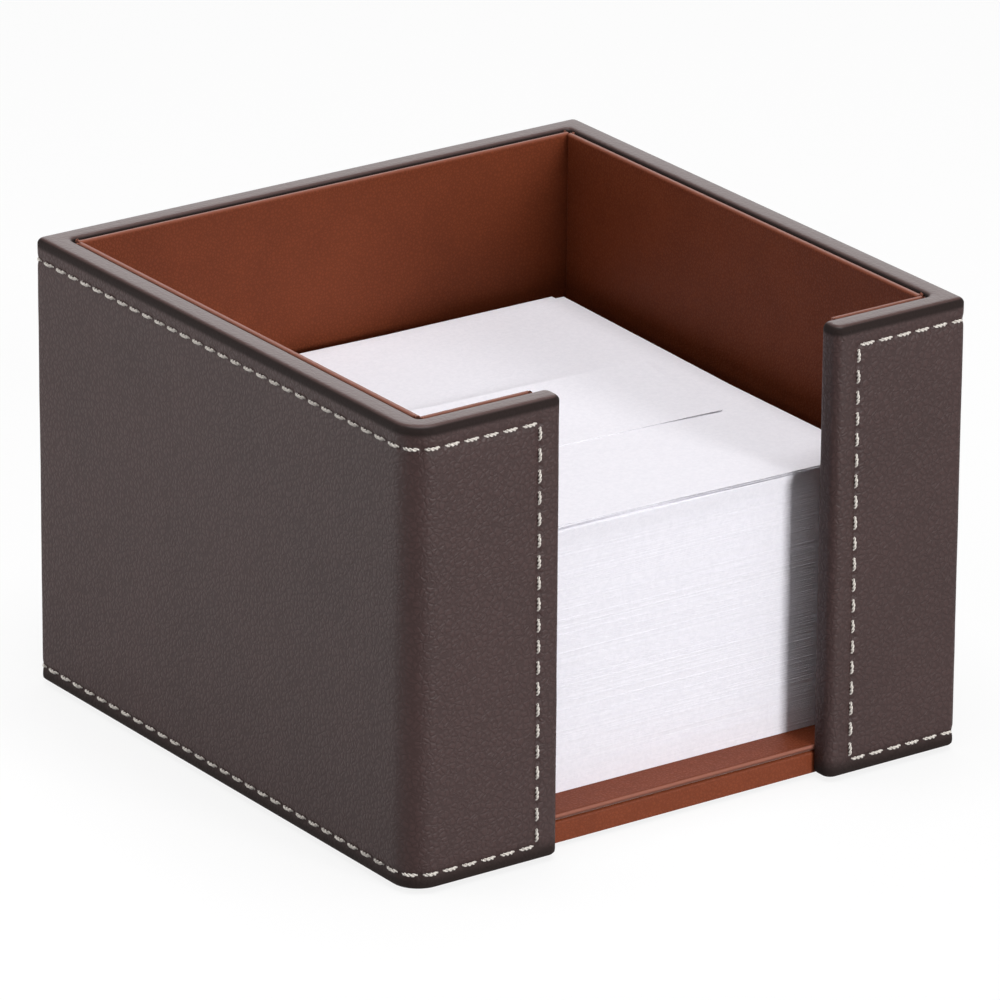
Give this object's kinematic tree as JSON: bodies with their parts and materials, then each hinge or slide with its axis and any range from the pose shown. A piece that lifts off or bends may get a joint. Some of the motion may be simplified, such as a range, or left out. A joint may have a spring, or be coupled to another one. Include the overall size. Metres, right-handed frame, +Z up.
{
  "type": "memo paper holder",
  "caption": "Square open-topped memo paper holder of stitched dark leatherette over board, lined in tan, with a thumb slot down its front and a stack of loose sheets inside.",
  "frame": {"origin": "middle of the box's footprint, on the underside of the felt", "axes": "+Z up, -Y out of the slotted front wall, +X to the right seen from the front"},
  "size_m": [0.1086, 0.1086, 0.0783],
  "materials": {
    "dark_leather": "dark brown grained leatherette, semi-matt",
    "tan_leather": "chestnut tan fine-grained leatherette, satin",
    "fibreboard": "raw medium-density fibreboard",
    "card": "grey lining card",
    "thread": "cream twisted sewing thread",
    "felt": "dark brown pressed felt",
    "paper": "white uncoated memo paper"
  },
  "bodies": {
    "holder": {"outer_cover": "dark_leather", "base_felt": "felt", "left_wall_board": "fibreboard", "right_wall_board": "fibreboard", "back_wall_board": "fibreboard", "front_left_board": "fibreboard", "front_right_board": "fibreboard", "base_board": "fibreboard", "left_lining_card": "card", "right_lining_card": "card", "back_lining_card": "card", "front_left_lining_card": "card", "front_right_lining_card": "card", "floor_card": "card", "left_lining_skin": "tan_leather", "right_lining_skin": "tan_leather", "back_lining_skin": "tan_leather", "front_left_lining_skin": "tan_leather", "front_right_lining_skin": "tan_leather", "floor_skin": "tan_leather", "base_wrap": "tan_leather", "rim_stitching": "thread", "foot_stitching": "thread", "left_slot_stitching": "thread", "right_slot_stitching": "thread"},
    "memo_paper": {"memo_stack": "paper", "loose_sheets": "paper"},
    "slip": {"top_slip": "paper"}
  },
  "joints": [
    {"name": "memo_stack_lift", "type": "slide", "parent": "holder", "child": "memo_paper", "axis": [0, 0, 1], "range_m": [0, 0.08]},
    {"name": "top_slip_lift", "type": "slide", "parent": "memo_paper", "child": "slip", "axis": [0, 0, 1], "range_m": [0, 0.04]}
  ]
}
